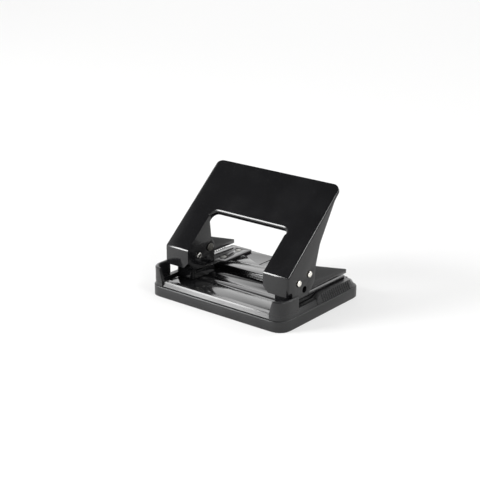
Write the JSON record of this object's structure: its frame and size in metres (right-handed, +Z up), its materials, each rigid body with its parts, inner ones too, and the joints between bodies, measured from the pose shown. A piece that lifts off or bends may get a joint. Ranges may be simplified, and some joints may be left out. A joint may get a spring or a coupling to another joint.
{
  "type": "two-hole punch",
  "caption": "Desk punch for filing holes: a sheet-metal lever on two brackets drives sprung punches through paper into a chip tray.",
  "frame": {"origin": "on the table, under the middle of the tray", "axes": "+X to the right across both punches, +Y to the back where paper enters, +Z up"},
  "size_m": [0.1084, 0.0858, 0.0774],
  "materials": {
    "black_enamel": "gloss black enamel on pressed steel",
    "black_plastic": "satin black moulded plastic",
    "bright_steel": "bright plated steel",
    "dull_steel": "dull plated steel",
    "spring_steel": "drawn spring wire"
  },
  "bodies": {
    "tray": {"chip_tray": "black_plastic"},
    "frame": {"base_plate": "black_enamel", "left_bracket": "black_enamel", "left_die_plate": "black_enamel", "left_guide_plate": "bright_steel", "left_pivot_rivet": "bright_steel", "left_inner_washer": "dull_steel", "left_outer_washer": "dull_steel", "left_foot_rivet_front": "dull_steel", "left_foot_rivet_middle": "dull_steel", "left_foot_rivet_rear": "dull_steel", "left_return_spring": "spring_steel", "right_bracket": "black_enamel", "right_die_plate": "black_enamel", "right_guide_plate": "bright_steel", "right_pivot_rivet": "bright_steel", "right_inner_washer": "dull_steel", "right_outer_washer": "dull_steel", "right_foot_rivet_front": "dull_steel", "right_foot_rivet_middle": "dull_steel", "right_foot_rivet_rear": "dull_steel", "right_return_spring": "spring_steel"},
    "handle": {"handle": "black_enamel", "left_drive_pin": "bright_steel", "right_drive_pin": "bright_steel"},
    "left_punch": {"left_punch": "bright_steel"},
    "right_punch": {"right_punch": "bright_steel"}
  },
  "joints": [
    {"name": "tray_release", "type": "slide", "parent": "tray", "child": "frame", "axis": [0, 0, 1], "range_m": [0, 0.025]},
    {"name": "lever_press", "type": "hinge", "parent": "frame", "child": "handle", "pos_m": [0, -0.0204, 0.0252], "axis": [-1, 0, 0], "range_deg": [0, 24], "stiffness_Nm_per_rad": 0.5, "springref_deg": -20.05},
    {"name": "left_punch_slide", "type": "slide", "parent": "frame", "child": "left_punch", "axis": [0, 0, -1], "range_m": [0, 0.0048], "deforming": ["left_return_spring"]},
    {"name": "right_punch_slide", "type": "slide", "parent": "frame", "child": "right_punch", "axis": [0, 0, -1], "range_m": [0, 0.0048], "deforming": ["right_return_spring"]}
  ],
  "couplings": [
    {"joint": "left_punch_slide", "follows": "lever_press", "m_per_rad": 0.01119},
    {"joint": "right_punch_slide", "follows": "lever_press", "m_per_rad": 0.01119}
  ]
}
